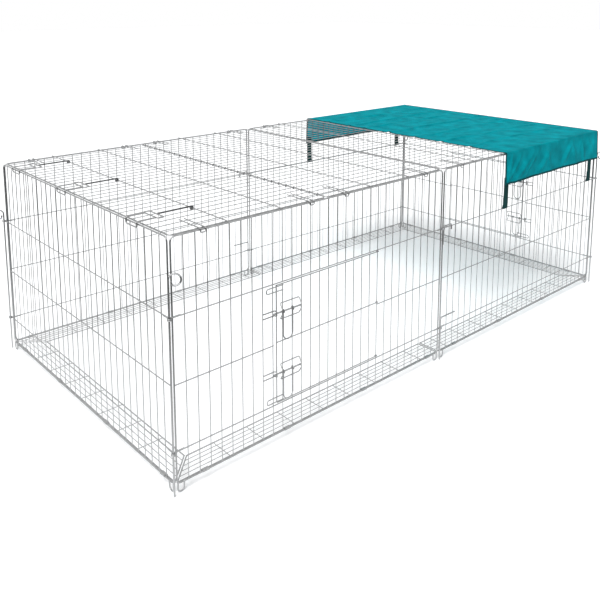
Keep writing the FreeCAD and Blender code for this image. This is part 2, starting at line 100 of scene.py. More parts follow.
pin_rise = 0.009
pin_handle = 0.048
pin_reach = 0.060
pin_tip = 0.020
pin_bend = 0.005

door_first_bar = 9
door_last_bar = 21
door_edge_inset = 0.014
door_edge_u = joint_gap + door_first_bar * bar_pitch + door_edge_inset
door_hinge_u = joint_gap + door_last_bar * bar_pitch
door_row_gap = 0.006
door_rows = [rail_z[0] + door_row_gap, rail_z[1] + door_row_gap, rail_z[2] - door_row_gap]
hinge_eye_radius = bar_radius + turning_gap + rail_radius
stop_height = 0.015
stop_gap = 0.004
stop_overlap = 0.026

latch_z = [base_z + height for height in (0.391, 0.199)]
bolt_radius = 0.0025
bolt_length = 0.107
handle_radius = 0.002
handle_eye_gap = 0.0002
handle_eye_radius = bolt_radius + handle_eye_gap + handle_radius
handle_inset = 0.0075
handle_width = 0.037
handle_drop = 0.092
handle_bend = 0.0179
bolt_door_gap = 0.0005
bolt_cover_gap = 0.0004
bolt_tip_reach = 0.004
bolt_offset = bar_radius + bolt_door_gap + handle_eye_radius + handle_radius
bolt_cover = bolt_offset + bolt_radius + bolt_cover_gap + rail_radius
bolt_tip_u = joint_gap + door_first_bar * bar_pitch - bolt_tip_reach
latch_inset = 0.0125
latch_left_u = door_edge_u + latch_inset
latch_seat = bar_radius + resting_gap + rail_radius
latch_bend = 0.004
guide_width = 0.075
guide_half_height = 0.025
guide_half_flat = 0.008
guide_half_split = 0.0004
keeper_reach = 0.005
keeper_half_height = 0.0075

cross_pitch = panel_pitch / 6
cross_z = top_z + frame_radius + turning_gap + rail_radius
roof_frame_z = cross_z - rail_radius - frame_radius + weld_depth
roof_bar_z = cross_z - rail_radius - bar_radius + weld_depth
roof_inset = 0.010
roof_half_depth = half_depth - roof_inset
roof_gaps = 30
roof_bar_pitch = 2 * roof_half_depth / roof_gaps
roof_joint = 0.010
hinge_x = -half_length + 3 * cross_pitch
cross_reach = 0.004
flap_end_gap = 0.012
flap_bar_shift = 0.004
flap_eye_radius = frame_radius + turning_gap + bar_radius
clip_z = cross_z + weld_depth + resting_gap
clip_edge_gap = 0.0005
clip_length = 0.100
clip_drop = 0.012
clip_half_width = 0.0085
clip_places = (0.106, 0.500)
hook_gaps = {"front": 4.5, "middle": 16.5, "back": 26.5}
hook_arm_radius = 0.0025
hook_wire_radius = 0.002
hook_eye_radius = rail_radius + turning_gap + hook_arm_radius
hook_z = cross_z + hook_eye_radius
hook_loop_start = 0.055
hook_loop_width = 0.020
hook_loop_half = 0.040
hook_fork_half = 0.030
hook_edge_gap = 0.0005
hook_drop = 0.008
hook_bend = 0.005

strip_width = 0.085
strip_rows = 5
strip_cross_start = 0.067
strip_cross_pitch = 0.124
strip_frame_radius = 0.002
strip_wire_radius = 0.0011
strip_edge_gap = 0.0055
strip_end_gap = 0.005

shade_start = 0.389
shade_end_gap = 0.002
shade_end = half_length - shade_end_gap
shade_thickness = 0.0010
shade_gap = 0.0004
shade_y = half_depth + frame_radius + clip_edge_gap + 2 * rail_radius + shade_gap + shade_thickness / 2
shade_z = clip_z + rail_radius + shade_gap + shade_thickness / 2
shade_bend = 0.0055
shade_drop = 0.122
hem_z = top_z - shade_drop
tape_width = 0.008
strap_width = 0.031
strap_thickness = 0.0012
strap_gaps = (10.5, 28.5)
strap_fall = 0.0057
strap_lap = 0.030

# Turn, first corner and which ends are corners of the run, for each side seen from outside
sides = {
    "front_near": (0, -half_length, -half_depth, True, False),
    "front_far": (0, 0, -half_depth, False, True),
    "right_end": (90, half_length, -half_depth, True, True),
    "back_far": (180, half_length, half_depth, True, False),
    "back_near": (180, 0, half_depth, False, True),
    "left_end": (270, -half_length, half_depth, True, True),
}
door_sides = {"front_near": "front", "right_end": "end"}
tube_sides = 12
bend_steps = 6

# Half sizes of the weld beads
rail_weld = (0.0021, 0.0012, 0.0019)
bar_end_weld = (0.0019, 0.0026, 0.0027)
foot_weld = (0.0027, 0.0028, 0.0031)
cross_weld = (0.0019, 0.0021, 0.0012)
roof_end_weld = (0.0027, 0.0019, 0.0026)
fork_weld = (0.0026, 0.0026, 0.0024)
arm_weld = (0.0030, 0.0032, 0.0028)
strip_end_weld = (0.0024, 0.0024, 0.0023)
strip_weld = (0.0018, 0.0018, 0.0011)


# Materials

def start_material(name):
    """Starts a material and gives it with its node tree and its main shader."""
    material = bpy.data.materials.new(name)
    material.use_nodes = True
    return material, material.node_tree, material.node_tree.nodes["Principled BSDF"]


def set_inputs(tree, made, inputs):
    """Sets a node's inputs to values, or links them to outputs."""
    for name, value in inputs.items():
        if isinstance(value, bpy.types.NodeSocket):
            tree.links.new(value, made.inputs[name])
        else:
            made.inputs[name].default_value = value


def add_node(tree, kind, inputs=None, **settings):
    """Adds a node with its settings and inputs."""
    made = tree.nodes.new(kind)
    for name, value in settings.items():
        setattr(made, name, value)
    set_inputs(tree, made, inputs or {})
    return made


def add_maths(tree, operation, *values):
    """Adds a sum over values or outputs and gives its result."""
    return add_node(tree, "ShaderNodeMath", dict(enumerate(values)), operation=operation).outputs[0]


def add_mix(tree, factor, first, second):
    """Adds a mix of two colours and gives its result."""
    mixed = add_node(tree, "ShaderNodeMix", {"Factor": factor, 6: first, 7: second}, data_type="RGBA")
    return mixed.outputs[2]


def add_ramp(tree, value, stops):
    """Adds a ramp of two colours over a value."""
    ramp = add_node(tree, "ShaderNodeValToRGB", {"Fac": value})
    for element, stop in zip(ramp.color_ramp.elements, stops):
        element.position, element.color = stop
    return ramp.outputs["Color"]


def grey(level):
    """Gives a grey with a faint cool cast."""
    return (level * 0.99, level, level * 1.01, 1)


def zinc_finish(name, low, high, chalky, paler_below=0.0):
    """Makes galvanised wire: soft spangle, chalky spots, and a colour that grows paler towards the bottom."""
    material, tree, shader = start_material(name)
    place = add_node(tree, "ShaderNodeTexCoord").outputs["Object"]
    spangle = add_node(tree, "ShaderNodeTexVoronoi", {"Vector": place, "Scale": 260.0})
    dull = add_node(tree, "ShaderNodeTexNoise", {"Vector": place, "Scale": 38.0, "Detail": 4.0})
    fine = add_node(tree, "ShaderNodeTexNoise", {"Vector": place, "Scale": 900.0, "Detail": 3.0})
    tone = add_ramp(tree, spangle.outputs["Color"], [(0.1, grey(low)), (0.9, grey(high))])
    chalk = add_ramp(tree, dull.outputs["Fac"], [(0.56, grey(0)), (0.72, grey(0.75))])
    colour = add_mix(tree, chalk, tone, grey(chalky))
    height = add_node(tree, "ShaderNodeSeparateXYZ", {"Vector": place}).outputs["Z"]
    # Paler towards the bottom of the run, by the given share.
    low_share = add_node(tree, "ShaderNodeMapRange", {
        "Value": height, "From Min": 0.03, "From Max": 0.56, "To Min": paler_below, "To Max": 0.0})
    paled_low = add_mix(tree, low_share.outputs["Result"], colour, grey(0.56))
    rough = add_ramp(tree, dull.outputs["Fac"], [(0.3, grey(0.30)), (0.75, grey(0.52))])
    bump = add_node(tree, "ShaderNodeBump", {
        "Height": fine.outputs["Fac"], "Strength": 0.25, "Distance": 0.0002})
    set_inputs(tree, shader, {
        "Base Color": paled_low, "Roughness": rough, "Metallic": 0.92, "Normal": bump.outputs["Normal"]})
    return material


def woven_finish(name, colours, thread, rough, glow):
    """Makes a plain weave on the piece's own cloth map, faded in patches, that lets some light through."""
    material, tree, shader = start_material(name)
    cloth_map = add_node(tree, "ShaderNodeUVMap", uv_map="cloth_map").outputs["UV"]
    across = add_node(tree, "ShaderNodeSeparateXYZ", {"Vector": cloth_map})
    waves = []
    for axis in ("X", "Y"):
        angle = add_maths(tree, "MULTIPLY", across.outputs[axis], math.tau / thread)
        waves.append(add_maths(tree, "SINE", angle))
    weave = add_maths(tree, "MULTIPLY", *waves)
    faded = add_node(tree, "ShaderNodeTexNoise", {"Vector": cloth_map, "Scale": 18.0, "Detail": 5.0})
    tone = add_ramp(tree, faded.outputs["Fac"], [(0.30, colours[0]), (0.72, colours[1])])
    threads = add_node(tree, "ShaderNodeMapRange", {
        "Value": weave, "From Min": -1.0, "To Min": 0.80, "To Max": 1.12})
    shaded = add_node(tree, "ShaderNodeVectorMath", {0: tone, "Scale": threads.outputs["Result"]},
                      operation="SCALE")
    bump = add_node(tree, "ShaderNodeBump", {"Height": weave, "Strength": 0.35, "Distance": 0.0002})
    set_inputs(tree, shader, {
        "Base Color": shaded.outputs[0], "Roughness": rough, "Specular IOR Level": 0.06,
        "Normal": bump.outputs["Normal"]})
    through = add_node(tree, "ShaderNodeBsdfTranslucent", {"Color": shaded.outputs[0]})
    thin = add_node(tree, "ShaderNodeMixShader", {0: glow, 1: shader.outputs[0], 2: through.outputs[0]})
    tree.links.new(thin.outputs[0], tree.nodes["Material Output"].inputs["Surface"])
    return material


# Zinc finishes: the first for most wire; the second, darker, is painted shade on upright wire faces and the
# hook arm, and the finish of keepers and handles; the third for the barrier strips.
zinc = zinc_finish("dipped_zinc", 0.27, 0.39, 0.46, paler_below=0.15)
dark_and_shaded_zinc = zinc_finish("zinc_dark_and_shaded", 0.065, 0.12, 0.16, paler_below=0.72)
strip_zinc = zinc_finish("bright_zinc", 0.33, 0.46, 0.54)
shade_cloth = woven_finish("shade_cloth", [(0.001, 0.315, 0.372, 1), (0.003, 0.508, 0.575, 1)],
                           thread=0.0011, rough=0.7, glow=0.45)
tape_cloth = woven_finish("tape_cloth", [(0.003, 0.060, 0.066, 1), (0.006, 0.085, 0.092, 1)],
                          thread=0.0009, rough=0.8, glow=0.05)
strap_cloth = woven_finish("strap_cloth", [(0.006, 0.036, 0.036, 1), (0.013, 0.056, 0.056, 1)],
                           thread=0.0016, rough=0.8, glow=0.05)
thread_cloth = woven_finish("thread_cloth", [(0.006, 0.090, 0.098, 1), (0.012, 0.120, 0.130, 1)],
                            thread=0.0006, rough=0.7, glow=0.05)


# Node trees that draw wires, welds and stitches

def start_tree(name, sockets):
    """Starts a node tree with named inputs and gives the tree and its inputs."""
    tree = bpy.data.node_groups.new(name, "GeometryNodeTree")
    for label, kind in sockets:
        tree.interface.new_socket(label, in_out="INPUT", socket_type="NodeSocket" + kind)
    tree.interface.new_socket("Geometry", in_out="OUTPUT", socket_type="NodeSocketGeometry")
    return tree, tree.nodes.new("NodeGroupInput").outputs


def row_points(tree, given):
    """Adds the node that makes a row of points."""
    return add_node(tree, "GeometryNodeMeshLine", {
        "Count": given["Count"], "Start Location": given["Start"], "Offset": given["Step"]}).outputs[0]


def end_tree(tree, geometry):
    """Ends a node tree with a plain smooth mesh."""
    real = add_node(tree, "GeometryNodeRealizeInstances", {"Geometry": geometry})
    smooth = add_node(tree, "GeometryNodeSetShadeSmooth", {"Geometry": real.outputs[0]})
    add_node(tree, "NodeGroupOutput", {"Geometry": smooth.outputs[0]})
    return tree


def round_wire(tree, lines, given):
    """Adds the nodes that make closed round wire along lines."""
    ring = add_node(tree, "GeometryNodeCurvePrimitiveCircle", {
        "Resolution": tube_sides, "Radius": given["Radius"]})
    return add_node(tree, "GeometryNodeCurveToMesh", {
        "Curve": lines.outputs[0], "Profile Curve": ring.outputs[0], "Fill Caps": True}).outputs[0]


def wire_row_tree():
    """A row of straight round wires, each with a slight bow."""
    tree, given = start_tree("wire_row", [
        ("Count", "Int"), ("Start", "Vector"), ("Step", "Vector"), ("Run", "Vector"), ("Parts", "Int"),
        ("Radius", "Float"), ("Bow", "Float"), ("Seed", "Float"),
    ])
    feet = row_points(tree, given)
    line = add_node(tree, "GeometryNodeCurvePrimitiveLine", {"End": given["Run"]})
    parted = add_node(tree, "GeometryNodeResampleCurve", {"Curve": line.outputs[0], "Count": given["Parts"]})
    placed = add_node(tree, "GeometryNodeInstanceOnPoints", {
        "Points": feet, "Instance": parted.outputs[0]})
    real = add_node(tree, "GeometryNodeRealizeInstances", {"Geometry": placed.outputs[0]})
    where = add_node(tree, "GeometryNodeInputPosition")
    waver = add_node(tree, "ShaderNodeTexNoise", {
        "Vector": where.outputs[0], "W": given["Seed"], "Scale": 4.0, "Detail": 1.0}, noise_dimensions="4D")
    centred = add_node(tree, "ShaderNodeVectorMath", {0: waver.outputs["Color"], 1: (0.5, 0.5, 0.5)},
                       operation="SUBTRACT")
    bowed = add_node(tree, "ShaderNodeVectorMath", {0: centred.outputs[0], "Scale": given["Bow"]},
                     operation="SCALE")
    moved = add_node(tree, "GeometryNodeSetPosition", {
        "Geometry": real.outputs[0], "Offset": bowed.outputs[0]})
    return end_tree(tree, round_wire(tree, moved, given))


def bent_wire_tree():
    """Round wires bent along the lines they are given."""
    tree, given = start_tree("bent_wire", [
        ("Lines", "Geometry"), ("Bend", "Float"), ("Radius", "Float"),
    ])
    lines = add_node(tree, "GeometryNodeMeshToCurve", {"Mesh": given["Lines"]})
    bent = add_node(tree, "GeometryNodeFilletCurve", {
        "Curve": lines.outputs[0], "Count": bend_steps, "Radius": given["Bend"], "Limit Radius": True,
    }, mode="POLY")
    return end_tree(tree, round_wire(tree, bent, given))


def weld_row_tree():
    """A row of weld beads, each a little different in size."""
    tree, given = start_tree("weld_row", [
        ("Count", "Int"), ("Start", "Vector"), ("Step", "Vector"), ("Size", "Vector"), ("Seed", "Int"),
    ])
    feet = row_points(tree, given)
    bead = add_node(tree, "GeometryNodeMeshUVSphere", {"Segments": 10, "Rings": 6, "Radius": 1.0})
    uneven = add_node(tree, "FunctionNodeRandomValue", {2: 0.85, 3: 1.2, "Seed": given["Seed"]},
                      data_type="FLOAT")
    size = add_node(tree, "ShaderNodeVectorMath", {0: given["Size"], "Scale": uneven.outputs[1]},
                    operation="SCALE")
    placed = add_node(tree, "GeometryNodeInstanceOnPoints", {
        "Points": feet, "Instance": bead.outputs[0], "Scale": size.outputs[0]})
    return end_tree(tree, placed.outputs[0])


def stitch_row_tree():
    """Sewing stitches that follow the lines they are given."""
    tree, given = start_tree("stitch_row", [
        ("Lines", "Geometry"), ("Pitch", "Float"), ("Size", "Vector"),
    ])
    lines = add_node(tree, "GeometryNodeMeshToCurve", {"Mesh": given["Lines"]})
    spots = add_node(tree, "GeometryNodeCurveToPoints", {
        "Curve": lines.outputs[0], "Length": given["Pitch"]}, mode="LENGTH")
    stitch = add_node(tree, "GeometryNodeMeshUVSphere", {"Segments": 6, "Rings": 6, "Radius": 1.0})
    placed = add_node(tree, "GeometryNodeInstanceOnPoints", {
        "Points": spots.outputs["Points"], "Instance": stitch.outputs[0],
        "Rotation": spots.outputs["Rotation"], "Scale": given["Size"]})
    return end_tree(tree, placed.outputs[0])


wire_row = wire_row_tree()
bent_wire = bent_wire_tree()
weld_row = weld_row_tree()
stitch_row = stitch_row_tree()


def place_object(name, data):
    """Makes an object and puts it in the scene."""
    made = bpy.data.objects.new(name, data)
    bpy.context.scene.collection.objects.link(made)
    return made


def line_mesh(lines, closed):
    """Makes a mesh of open or closed lines through points."""
    points, edges = [], []
    for line in lines:
        first = len(points)
        points.extend(line)
        edges.extend((first + i, first + i + 1) for i in range(len(line) - 1))
        if closed:
            edges.append((len(points) - 1, first))
    mesh = bpy.data.meshes.new("lines")
    mesh.from_pydata(points, edges, [])
    return mesh


def grow(tree, values, mesh=None):
    """Runs a node tree once and gives its plain mesh."""
    holder = place_object("holder", mesh or bpy.data.meshes.new("empty"))
    modifier = holder.modifiers.new("grow", "NODES")
    modifier.node_group = tree
    for item in tree.interface.items_tree:
        if item.in_out == "INPUT" and item.name in values:
            modifier[item.identifier] = values[item.name]
    graph = bpy.context.evaluated_depsgraph_get()
    grown = bpy.data.meshes.new_from_object(holder.evaluated_get(graph), depsgraph=graph)
    start = holder.data
    bpy.data.objects.remove(holder)
    bpy.data.meshes.remove(start)
    return grown


def on_side(side):
    """Gives the move that puts a piece made on the first panel's axes onto a side."""
    turn, corner_x, corner_y = sides[side][:3]
    return Matrix.Translation((corner_x, corner_y, 0)) @ Matrix.Rotation(math.radians(turn), 4, "Z")


def bar_u(index):
    """Gives the place of a bar, or of a gap between bars, along its panel."""
    return joint_gap + index * bar_pitch


def curl_points(start, touch, centre, sweep):
    """Gives the line of a straight wire that ends in an open eye round a centre."""
    start, touch, centre = Vector(start), Vector(touch), Vector(centre)
    arm = touch - centre
    heading = (touch - start).normalized() * arm.length
    steps = 20
    turns = [math.radians(sweep) * step / steps for step in range(steps + 1)]
    return [start] + [centre + arm * math.cos(turn) + heading * math.sin(turn) for turn in turns]


def ring_points(centre, first, second, steps=20):
    """Gives a closed ring of points round a centre, from its two arms."""
    centre, first, second = Vector(centre), Vector(first), Vector(second)
    turns = [math.tau * step / steps for step in range(steps)]
    return [centre + first * math.cos(turn) + second * math.sin(turn) for turn in turns]


def is_upright(face):
    """Tells whether a face of a wire runs up and down; such faces get painted shade."""
    longest = max(face.edges, key=lambda edge: edge.calc_length())
    run = longest.verts[0].co - longest.verts[1].co
    return abs(run.z) > 0.9 * run.length


class Wirework:
    """Gathers the wires and welds of one piece, with a test for the faces that get painted shade, then makes
    it one mesh.
    """

    def __init__(self, finish=zinc):
        self.finish = finish
        self.meshes = []
        self.seed = 0

    def row(self, start, run, radius, step=(0, 0, 0), count=1, bow=0.0004):
        """Adds a row of straight wires."""
        self.seed += 1
        length = Vector(run).length
        self.meshes.append((is_upright, grow(wire_row, {
            "Count": count, "Start": start, "Step": step, "Run": run, "Radius": radius,
            "Parts": max(2, round(length / 0.06)), "Bow": bow, "Seed": float(self.seed)})))

    def bent(self, lines, radius, bend, closed=False, painted_shade=is_upright):
        """Adds wires bent along lines of points."""
        mesh = grow(bent_wire, {"Bend": bend, "Radius": radius}, line_mesh(lines, closed))
        self.meshes.append((painted_shade, mesh))

    def curl(self, lines, radius, painted_shade=is_upright):
        """Adds wires whose lines already turn smoothly."""
        self.bent(lines, radius, 0.0, painted_shade=painted_shade)

    def welds(self, start, step, count, size):
        """Adds a row of weld beads."""
        self.seed += 1
        self.meshes.append((lambda face: False, grow(weld_row, {
            "Count": count, "Start": start, "Step": step, "Size": size, "Seed": self.seed})))

    def piece(self, node, move=Matrix.Identity(4)):
        """Makes the gathered wires one piece that stands for a node of the frame."""
        whole = bmesh.new()
        # Faces that pass the test take the second, darker zinc: painted shade on upright wires, which catch
        # less of the top light.
        for painted_shade, mesh in self.meshes:
            first = len(whole.faces)
            whole.from_mesh(mesh)
            for face in list(whole.faces)[first:]:
                face.material_index = int(painted_shade(face))
        bmesh.ops.transform(whole, matrix=move, verts=whole.verts)
        return stand_for(node, whole, [self.finish, dark_and_shaded_zinc])


def stand_for(node, shape, finishes, name=None):
    """Makes an object of a shape, on the node's body, in the node's place."""
    mesh = bpy.data.meshes.new(name or node + "_made")
    shape.to_mesh(mesh)
    shape.free()
    for finish in finishes:
        mesh.materials.append(finish)
    made = place_object(mesh.name, mesh)
    if name is None:
        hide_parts(node)
    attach(made, frame["nodes"][node]["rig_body"])
    return made


# Side panels, doors and latches, drawn on the first panel's axes

def add_panel_bars(wires, has_door):
    """Adds a panel's upright bars, its rails and their welds."""
    runs = [(1, bar_gaps - 1, base_z, top_z)]
    if has_door:
        runs = [
            (1, door_first_bar, base_z, top_z),
            (door_first_bar + 1, door_last_bar - 1, base_z, rail_z[0]),
            (door_first_bar + 1, door_last_bar - 1, rail_z[2], top_z),
            (door_last_bar, bar_gaps - 1, base_z, top_z),
        ]
    for first, last, low, high in runs:
        wires.row((bar_u(first), 0, low), (0, 0, high - low), bar_radius, (bar_pitch, 0, 0), last - first + 1)
    left, right = bar_u(0), bar_u(bar_gaps)
    for index, z in enumerate(rail_z):
        spans = [(left, right)]
        if has_door and index == 1:
            spans = [(left, bar_u(door_first_bar)), (bar_u(door_last_bar), right)]
        for start, end in spans:
            wires.row((start, -rail_offset, z), (end - start, 0, 0), rail_radius, bow=0.0006)
            count = round((end - start) / bar_pitch) + 1
            wires.welds((start, -bar_radius, z), (bar_pitch, 0, 0), count, rail_weld)
    for z in (base_z, top_z):
        wires.welds((bar_u(1), 0, z), (bar_pitch, 0, 0), bar_gaps - 1, bar_end_weld)


def add_panel_frame(wires):
    """Adds a panel's rounded frame and its feet."""
    left, right = bar_u(0), bar_u(bar_gaps)
    wires.bent([[(left, 0, base_z), (right, 0, base_z), (right, 0, top_z), (left, 0, top_z)]],
               frame_radius, corner_bend, closed=True)
    feet = []
    reach = corner_bend - foot_inset
    rise = corner_bend - math.sqrt(corner_bend ** 2 - reach ** 2)
    for end_u, inward in ((left, 1), (right, -1)):
        outer = end_u + inward * foot_inset
        inner = outer + inward * foot_width
        feet.append([(outer, 0, base_z + rise), (outer, 0, foot_radius),
                     (inner, 0, foot_radius), (inner, 0, base_z)])
        wires.welds((inner, 0, base_z), (0, 0, 0), 1, foot_weld)
    wires.bent(feet, foot_radius, foot_width / 2 - weld_depth)


def add_panel_eyes(wires, left_is_corner, right_is_corner):
    """Adds the eyes that the corner rods and the joint pegs go through."""
    eyes = []
    for end_u, inward, is_corner in ((0, 1, left_is_corner), (panel_pitch, -1, right_is_corner)):
        centre_u = end_u - inward * rod_offset if is_corner else end_u
        for height in (rail_z[0], rail_z[2]):
            z = height + inward * eye_step
            tail = (end_u + inward * (joint_gap + eye_tail), -rail_offset, z)
            eyes.append(curl_points(tail, (centre_u, -rail_offset, z), (centre_u, -rod_offset, z), eye_sweep))
    wires.curl(eyes, rail_radius)


def make_panels():
    """Makes the six side panels."""
    for side, (_, _, _, left_is_corner, right_is_corner) in sides.items():
        wires = Wirework()
        add_panel_frame(wires)
        add_panel_bars(wires, side in door_sides)
        add_panel_eyes(wires, left_is_corner, right_is_corner)
        wires.piece("panel_" + side, on_side(side))


def make_door(side, name):
    """Makes one door leaf with its hinge eyes and stops."""
    wires = Wirework()
    low, high = door_rows[0], door_rows[2]
    rise = (0, 0, high - low)
    wires.row((door_edge_u, 0, low), rise, rail_radius, bow=0.0005)
    first = door_first_bar + 1
    wires.row((bar_u(first), 0, low), rise, bar_radius, (bar_pitch, 0, 0), door_last_bar - first)
    eyes = []
    for z in door_rows:
        meet = door_hinge_u - math.sqrt(hinge_eye_radius ** 2 - rail_offset ** 2)
        wires.row((door_edge_u, -rail_offset, z), (meet - door_edge_u, 0, 0), rail_radius, bow=0.0004)
        wires.welds((bar_u(first), -bar_radius, z), (bar_pitch, 0, 0), door_last_bar - first, rail_weld)
        eyes.append(ring_points((door_hinge_u, 0, z), (hinge_eye_radius, 0, 0), (0, hinge_eye_radius, 0)))
    wires.bent(eyes, rail_radius, 0.0, closed=True)
    stops = []
    w = -hinge_eye_radius
    start, end = bar_u(first), bar_u(door_first_bar) - stop_overlap
    for stop_z in (low + stop_gap, high - stop_gap - stop_height):
        top = stop_z + stop_height
        stops.append([(start, w, stop_z), (end, w, stop_z), (end, w, top), (start, w, top)])
    wires.bent(stops, rail_radius, stop_height / 2 - weld_depth)
    wires.piece("door_" + name, on_side(side))


def make_latches(side, name):
    """Makes the guides and keepers of a door, and its bolts and drop handles."""
    move = on_side(side)
    guides, keepers = Wirework(), Wirework(dark_and_shaded_zinc)
    keeper_start, keeper_end = bar_u(door_first_bar - 1), bar_u(door_first_bar) + keeper_reach
    guide_right = latch_left_u + guide_width
    guide_middle = (latch_left_u + guide_right) / 2
    for z, level in zip(latch_z, ("upper", "lower")):
        low, high = z - keeper_half_height, z + keeper_half_height
        keepers.bent([[
            (keeper_start, -latch_seat, high), (keeper_end, -latch_seat, high),
            (keeper_end, -bolt_cover, high), (keeper_end, -bolt_cover, low),
            (keeper_end, -latch_seat, low), (keeper_start, -latch_seat, low),
        ]], rail_radius, latch_bend)

        def guide_side(u):
            return [(u, -latch_seat, z - guide_half_height), (u, -bolt_cover, z - guide_half_flat),
                    (u, -bolt_cover, z + guide_half_flat), (u, -latch_seat, z + guide_half_height)]

        line = [(guide_middle - guide_half_split, -latch_seat, z - guide_half_height)]
        line += guide_side(latch_left_u) + guide_side(guide_right)[::-1]
        line += [(guide_middle + guide_half_split, -latch_seat, z - guide_half_height)]
        guides.bent([line], rail_radius, latch_bend)
        bolt = Wirework()
        bolt.row((bolt_tip_u, -bolt_offset, z), (bolt_length, 0, 0), bolt_radius, bow=0)
        bolt.piece("bolt_%s_%s" % (name, level), move)
        make_handle("handle_%s_%s" % (name, level), z, move)
    guides.piece("latch_guides_" + name, move)
    keepers.piece("latch_keepers_" + name, move)


def make_handle(node, z, move):
    """Makes a U drop handle with two eyes round its bolt."""
    handle = Wirework(dark_and_shaded_zinc)
    left = latch_left_u + handle_inset
    right = left + handle_width
    low = z - handle_drop
    meet = z - handle_eye_radius
    handle.bent([[(left, -bolt_offset, meet), (left, -bolt_offset, low),
                  (right, -bolt_offset, low), (right, -bolt_offset, meet)]], handle_radius, handle_bend)
    eyes = [ring_points((u, -bolt_offset, z), (0, 0, handle_eye_radius), (0, handle_eye_radius, 0))
            for u in (left, right)]
    handle.bent(eyes, handle_radius, 0.0, closed=True)
    handle.piece(node, move)


# Rods, pegs and pins

def pigtail_points(x, y, height, turn):
    """Gives the line of a rod that ends in a pigtail curl, turned about the rod."""
    out = Vector((math.cos(math.radians(turn)), math.sin(math.radians(turn)), 0))
    up = Vector((0, 0, 1))
    centre = Vector((x, y, base_z + height)) + out * curl_radius

    def on_curl(middle, radius, angle):
        return middle + (up * math.sin(math.radians(angle)) - out * math.cos(math.radians(angle))) * radius

    end_centre = on_curl(centre, curl_radius - curl_end_radius, curl_sweep)
    line = [Vector((x, y, 0))]
    line += [on_curl(centre, curl_radius, angle) for angle in range(0, curl_sweep, 10)]
    last = curl_sweep + curl_end_sweep
    line += [on_curl(end_centre, curl_end_radius, angle) for angle in range(curl_sweep, last + 1, 10)]
    return line


def make_rods():
    """Makes the corner rods, and the peg and pin of each middle joint."""
    rod_x, rod_y = half_length + rod_offset, half_depth + rod_offset
    for name, (side_x, side_y, height, turn) in corner_rods.items():
        rod = Wirework()
        rod.curl([pigtail_points(side_x * rod_x, side_y * rod_y, height, turn)], rod_radius)
        rod.piece("rod_" + name)
    for name, facing in (("front", -1), ("back", 1)):
        y = facing * rod_y
        peg, pin = Wirework(), Wirework()
        peg_z = base_z + peg_height
        peg.bent([[(0, y, 0), (0, y, peg_z), (-facing * peg_handle, y, peg_z)]], rod_radius, peg_bend)
        peg.piece("peg_" + name)
        pin_z, pin_end = rail_z[2] + pin_rise, -facing * pin_handle
        pin.bent([[(0, y, rail_z[2] - pin_reach), (0, y, pin_z),
                   (pin_end, y, pin_z), (pin_end, y, pin_z - pin_tip)]], rod_radius, pin_bend)
        pin.piece("pin_" + name)


# Roof

def make_roof_sheet(node, left, right, cross_places):
    """Makes one welded sheet of the roof."""
    wires = Wirework()
    front, back = -roof_half_depth, roof_half_depth
    wires.bent([[(left, front, roof_frame_z), (right, front, roof_frame_z),
                 (right, back, roof_frame_z), (left, back, roof_frame_z)]],
               frame_radius, corner_bend, closed=True)
    add_roof_bars(wires, left, right, 0, cross_places, (left, right))
    wires.piece(node)


def add_roof_bars(wires, left, right, shift, cross_places, ends):
    """Adds the bars along a roof sheet, its cross wires and their welds."""
    step, first = (0, roof_bar_pitch, 0), -roof_half_depth + roof_bar_pitch + shift
    wires.row((left, first, roof_bar_z), (right - left, 0, 0), bar_radius, step, roof_gaps - 1)
    reach = half_depth + cross_reach
    for x in cross_places:
        wires.row((x, -reach, cross_z), (0, 2 * reach, 0), rail_radius, bow=0.0004)
        wires.welds((x, first, cross_z - rail_radius), step, roof_gaps - 1, cross_weld)
    for x in ends:
        wires.welds((x, first, roof_frame_z), step, roof_gaps - 1, roof_end_weld)


def make_roof_flap(left, cross_places):
    """Makes the hinged sheet, whose bars end in eyes round the next sheet's end wire."""
    wires = Wirework()
    end_x, side_y = hinge_x - flap_end_gap, roof_half_depth
    wires.bent([[(end_x, -side_y, roof_frame_z), (left, -side_y, roof_frame_z),
                 (left, side_y, roof_frame_z), (end_x, side_y, roof_frame_z)]], frame_radius, corner_bend)
    meet_x = hinge_x - math.sqrt(flap_eye_radius ** 2 - (roof_bar_z - roof_frame_z) ** 2)
    add_roof_bars(wires, left, meet_x, flap_bar_shift, cross_places, (left,))
    eyes = []
    for index in range(1, roof_gaps):
        y = -roof_half_depth + index * roof_bar_pitch + flap_bar_shift
        arms = (flap_eye_radius, 0, 0), (0, 0, flap_eye_radius)
        eyes.append(ring_points((hinge_x, y, roof_frame_z), *arms, steps=16))
    wires.bent(eyes, bar_radius, 0.0, closed=True)
    wires.piece("roof_flap")


def make_roof_clips(node, places):
    """Makes hairpin clips along both long sides of a roof sheet."""
    clips = Wirework()
    outer = half_depth + frame_radius + clip_edge_gap + rail_radius
    inner, low = half_depth - clip_length, clip_z - clip_drop
    lines = []
    for x in places:
        left, right = x - clip_half_width, x + clip_half_width
        for facing in (-1, 1):
            far, near = facing * outer, facing * inner
            lines.append([(left, near, clip_z), (left, far, clip_z), (left, far, low),
                          (right, far, low), (right, far, clip_z), (right, near, clip_z)])
    clips.bent(lines, rail_radius, latch_bend)
    clips.piece(node)


